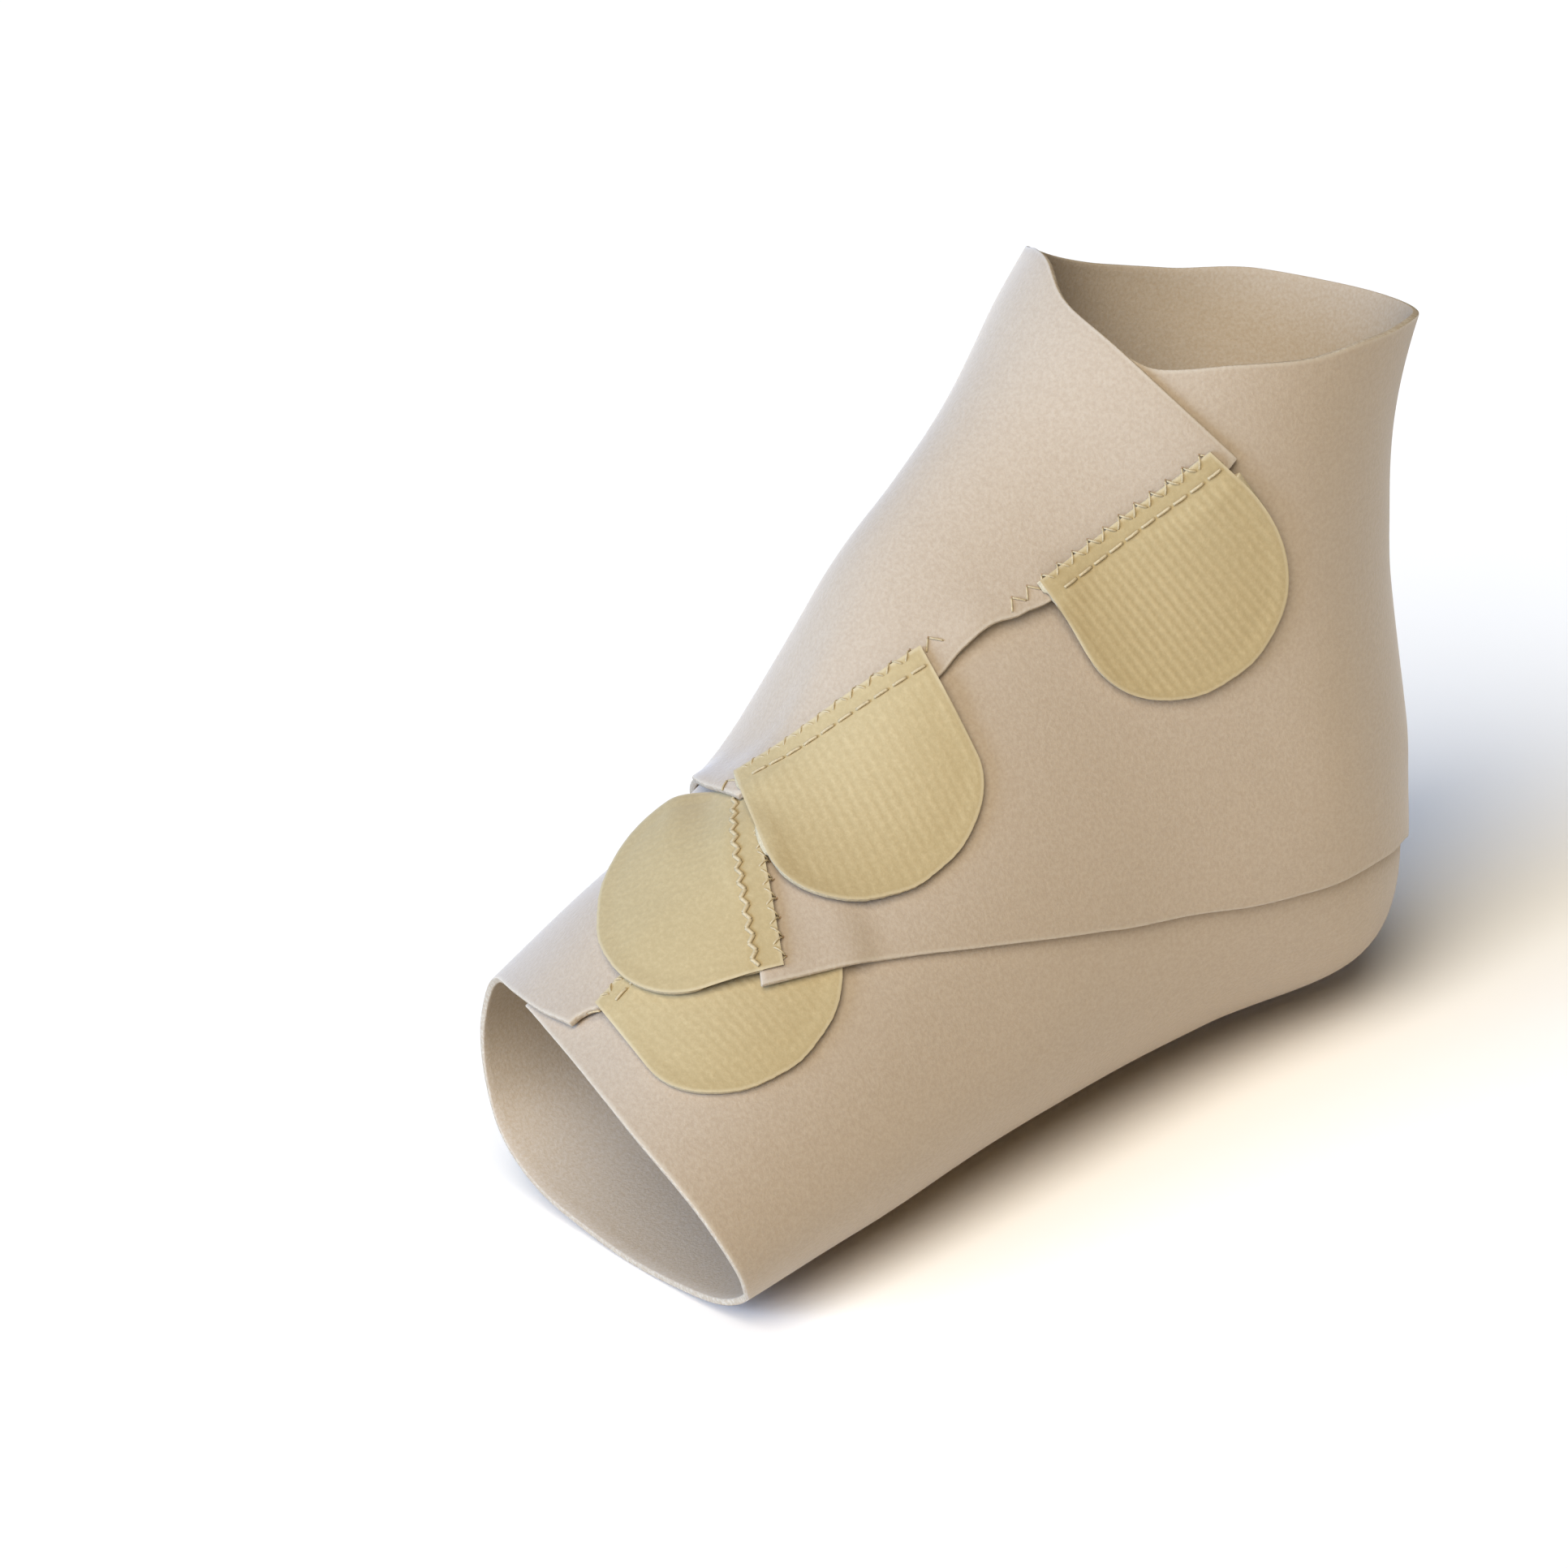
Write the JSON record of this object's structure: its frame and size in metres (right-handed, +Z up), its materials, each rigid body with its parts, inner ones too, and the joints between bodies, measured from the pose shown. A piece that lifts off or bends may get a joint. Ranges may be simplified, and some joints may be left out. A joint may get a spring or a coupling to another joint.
{
  "type": "foot compression wrap",
  "caption": "Soft fabric wrap closed round the foot, heel and ankle, open at the toes and above the ankle, with D-shaped hook tabs that fasten it on the outer side.",
  "frame": {"origin": "middle of the sole on its inside, under the ankle: where the wearer's foot bears on the wrap", "axes": "+Z up the leg, -Y towards the toes, +Y towards the heel, +X towards the outer (lateral) side of a left foot"},
  "size_m": [0.0979, 0.194, 0.15],
  "materials": {
    "wrap_fabric": "matte brushed loop face, cream beige",
    "hook_tape": "fine ribbed hook tape, straw yellow"
  },
  "bodies": {
    "root": {"foot_panel": "wrap_fabric", "ankle_band": "wrap_fabric", "hook_tab_forefoot": "hook_tape", "hook_tab_midfoot": "hook_tape", "hook_tab_instep": "hook_tape", "hook_tab_ankle": "hook_tape"}
  },
  "joints": []
}
